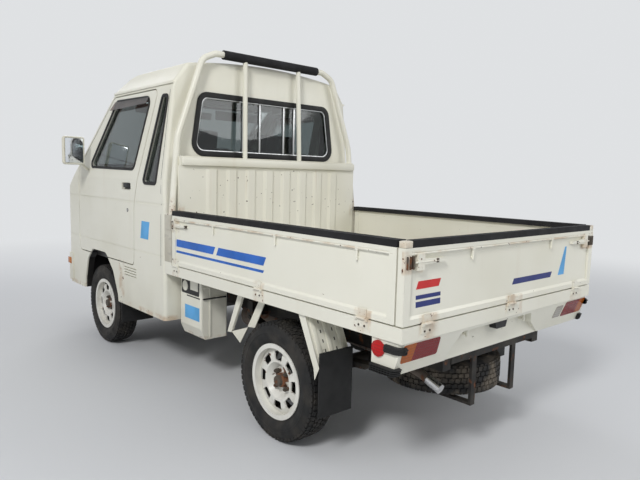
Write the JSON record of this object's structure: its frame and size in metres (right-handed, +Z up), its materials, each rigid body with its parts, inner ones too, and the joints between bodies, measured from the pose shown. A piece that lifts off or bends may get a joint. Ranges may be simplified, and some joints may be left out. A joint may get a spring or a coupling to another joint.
{
  "type": "kei truck",
  "caption": "Small cab-over pickup truck with a high-roof extended cab, guard frame, drop-side bed and steel wheels.",
  "frame": {"origin": "on the ground under the middle of the vehicle's length and width", "axes": "+Z up, -Y towards the front, +X towards the vehicle's left side"},
  "size_m": [1.75, 3.3056, 1.8413],
  "materials": {
    "body_white": "glossy, weathered",
    "wheel_white": "satin, rusty at the centre",
    "glass_clear": "clear",
    "tyre_black": "matt",
    "pad_black": "matt foam and rubber",
    "trim_black": "matt",
    "dash_grey": "grained",
    "seat_vinyl": "vinyl",
    "frame_black": "matt, dusty",
    "engine_metal": "oily",
    "steel_dull": "weathered",
    "lamp_lens": "glossy",
    "headlamp_lens": "glossy",
    "bumper_white": "glossy"
  },
  "bodies": {
    "chassis": {"cab_roof": "body_white", "cab_rear_wall": "body_white", "cab_front": "body_white", "cab_side_left": "body_white", "cab_side_right": "body_white", "cab_floor": "body_white", "windscreen": "glass_clear", "cab_windows": "glass_clear", "dashboard": "dash_grey", "seats": "seat_vinyl", "headlamps": "headlamp_lens", "front_bumper": "bumper_white", "chassis_frame": "frame_black", "cross_members": "frame_black", "engine": "engine_metal", "fuel_tank": "frame_black", "battery_box": "body_white", "exhaust": "steel_dull", "spare_carrier": "frame_black", "propshaft": "frame_black", "front_suspension": "frame_black", "rear_axle": "frame_black", "bed_floor": "body_white", "guard_frame": "body_white", "guard_pad": "pad_black", "rear_valance": "body_white", "tail_lamps": "lamp_lens", "plate_lamp": "trim_black", "corner_buffers": "trim_black", "mud_guards": "body_white", "mud_flaps": "pad_black", "spare_tyre": "tyre_black", "spare_rim": "wheel_white"},
    "door_left": {"door_left": "body_white", "door_glass_left": "glass_clear"},
    "door_right": {"door_right": "body_white", "door_glass_right": "glass_clear"},
    "side_gate_left": {"side_gate_left": "body_white", "side_pad_left": "pad_black"},
    "side_gate_right": {"side_gate_right": "body_white", "side_pad_right": "pad_black"},
    "tailgate": {"tailgate": "body_white", "tailgate_pad": "pad_black"},
    "knuckle_left": {"knuckle_left": "frame_black"},
    "knuckle_right": {"knuckle_right": "frame_black"},
    "steering_wheel": {"steering_wheel": "trim_black"},
    "wheel_front_left": {"tyre_front_left": "tyre_black", "rim_front_left": "wheel_white"},
    "wheel_front_right": {"tyre_front_right": "tyre_black", "rim_front_right": "wheel_white"},
    "wheel_rear_left": {"tyre_rear_left": "tyre_black", "rim_rear_left": "wheel_white"},
    "wheel_rear_right": {"tyre_rear_right": "tyre_black", "rim_rear_right": "wheel_white"}
  },
  "joints": [
    {"name": "steer_left", "type": "hinge", "parent": "chassis", "child": "knuckle_left", "pos_m": [0.525, -0.987, 0.263], "axis": [0, 0, 1], "range_deg": [-33, 33]},
    {"name": "steer_right", "type": "hinge", "parent": "chassis", "child": "knuckle_right", "pos_m": [-0.525, -0.987, 0.263], "axis": [0, 0, 1], "range_deg": [-33, 33]},
    {"name": "steering_wheel_turn", "type": "hinge", "parent": "chassis", "child": "steering_wheel", "pos_m": [-0.31, -1.13, 1.06], "axis": [0, 0.6525, 0.7578], "range_deg": [-495, 495]},
    {"name": "spin_front_left", "type": "hinge", "parent": "knuckle_left", "child": "wheel_front_left", "pos_m": [0.6, -0.987, 0.263], "axis": [1, 0, 0], "continuous": true},
    {"name": "spin_front_right", "type": "hinge", "parent": "knuckle_right", "child": "wheel_front_right", "pos_m": [-0.6, -0.987, 0.263], "axis": [1, 0, 0], "continuous": true},
    {"name": "spin_rear_left", "type": "hinge", "parent": "chassis", "child": "wheel_rear_left", "pos_m": [0.6, 0.913, 0.263], "axis": [1, 0, 0], "continuous": true},
    {"name": "spin_rear_right", "type": "hinge", "parent": "chassis", "child": "wheel_rear_right", "pos_m": [-0.6, 0.913, 0.263], "axis": [1, 0, 0], "continuous": true},
    {"name": "door_left_swing", "type": "hinge", "parent": "chassis", "child": "door_left", "pos_m": [0.69, -1.3485, 0.9], "axis": [0, 0, -1], "range_deg": [0, 65]},
    {"name": "door_right_swing", "type": "hinge", "parent": "chassis", "child": "door_right", "pos_m": [-0.69, -1.3485, 0.9], "axis": [0, 0, 1], "range_deg": [0, 65]},
    {"name": "side_gate_left_drop", "type": "hinge", "parent": "chassis", "child": "side_gate_left", "pos_m": [0.703, 0.8, 0.664], "axis": [0, 1, 0], "range_deg": [0, 170]},
    {"name": "side_gate_right_drop", "type": "hinge", "parent": "chassis", "child": "side_gate_right", "pos_m": [-0.703, 0.8, 0.664], "axis": [0, -1, 0], "range_deg": [0, 170]},
    {"name": "tailgate_drop", "type": "hinge", "parent": "chassis", "child": "tailgate", "pos_m": [0, 1.653, 0.664], "axis": [-1, 0, 0], "range_deg": [0, 170]}
  ],
  "couplings": [
    {"joint": "steer_right", "follows": "steer_left", "ratio": 1},
    {"joint": "steering_wheel_turn", "follows": "steer_left", "ratio": 15}
  ]
}
